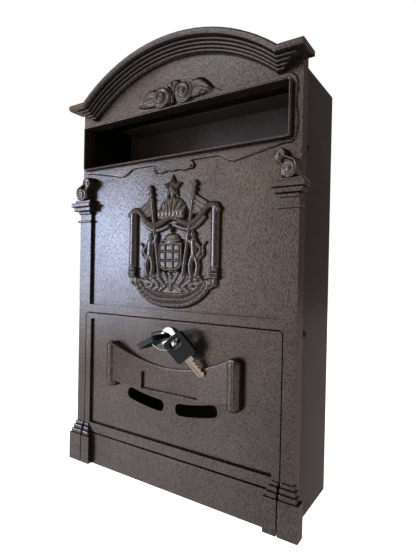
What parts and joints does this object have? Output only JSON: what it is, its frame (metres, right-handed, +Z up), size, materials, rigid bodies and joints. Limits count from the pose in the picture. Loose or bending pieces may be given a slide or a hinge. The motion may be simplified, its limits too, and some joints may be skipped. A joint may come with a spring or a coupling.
{
  "type": "wall mounted mailbox",
  "caption": "Classical cast-front wall mailbox with arched cornice, mail slot, relief crest, drop-down lower door, name ribbon, viewing holes, cam lock and keys.",
  "frame": {"origin": "middle of the back panel's outer face, on the wall", "axes": "+X to the viewer's right, +Y into the wall, +Z up"},
  "size_m": [0.257, 0.1153, 0.4087],
  "materials": {
    "hammered_casting": "bronze hammered paint on cast aluminium",
    "hammered_sheet": "bronze hammered paint on 1 mm steel sheet",
    "painted_fixings": "painted over with the box",
    "lock_chrome": "polished chrome plate",
    "zinc_plate": "zinc plated steel",
    "ring_steel": "bright nickel plated wire",
    "black_plastic": "fine matt moulded key bow",
    "key_metal": "nickel silver, milled and cut"
  },
  "bodies": {
    "mailbox": {"back_panel": "hammered_sheet", "body_shell": "hammered_sheet", "front_frame": "hammered_casting", "slot_surround": "hammered_casting", "crest": "hammered_casting", "side_screw_left_upper": "painted_fixings", "side_screw_left_lower": "painted_fixings", "side_screw_right_upper": "painted_fixings", "side_screw_right_lower": "painted_fixings", "crest_nut_upper": "zinc_plate", "crest_nut_lower": "zinc_plate", "hinge_pin_left": "zinc_plate", "hinge_pin_right": "zinc_plate"},
    "door": {"door_panel": "hammered_casting", "name_banner": "hammered_casting", "banner_rivet_left": "zinc_plate", "banner_rivet_right": "zinc_plate", "lock_body": "lock_chrome", "lock_nut": "zinc_plate"},
    "lock": {"lock_plug": "lock_chrome", "lock_cam": "zinc_plate", "cam_screw": "zinc_plate"},
    "key_1": {"key_1_head": "black_plastic", "key_1_blade": "key_metal"},
    "ring": {"key_ring": "ring_steel"},
    "key_2": {"key_2_head": "black_plastic", "key_2_blade": "key_metal"}
  },
  "joints": [
    {"name": "door_hinge", "type": "hinge", "parent": "mailbox", "child": "door", "pos_m": [0, -0.08, -0.178], "axis": [1, 0, 0], "range_deg": [0, 90]},
    {"name": "lock_turn", "type": "hinge", "parent": "door", "child": "lock", "pos_m": [0, -0.08, -0.0425], "axis": [0, -1, 0], "range_deg": [-28, 62]},
    {"name": "key_slide", "type": "slide", "parent": "lock", "child": "key_1", "axis": [0, -1, 0], "range_m": [0, 0.03]},
    {"name": "ring_swing", "type": "hinge", "parent": "key_1", "child": "ring", "pos_m": [0.00095, -0.10918, -0.04116], "axis": [0.6451, -0.4487, -0.6185], "range_deg": [0, 10]},
    {"name": "spare_key_swing", "type": "hinge", "parent": "ring", "child": "key_2", "pos_m": [0.0151, -0.09457, -0.04626], "axis": [-0.2767, 0.8292, 0.4857], "range_deg": [-15, 0]}
  ]
}
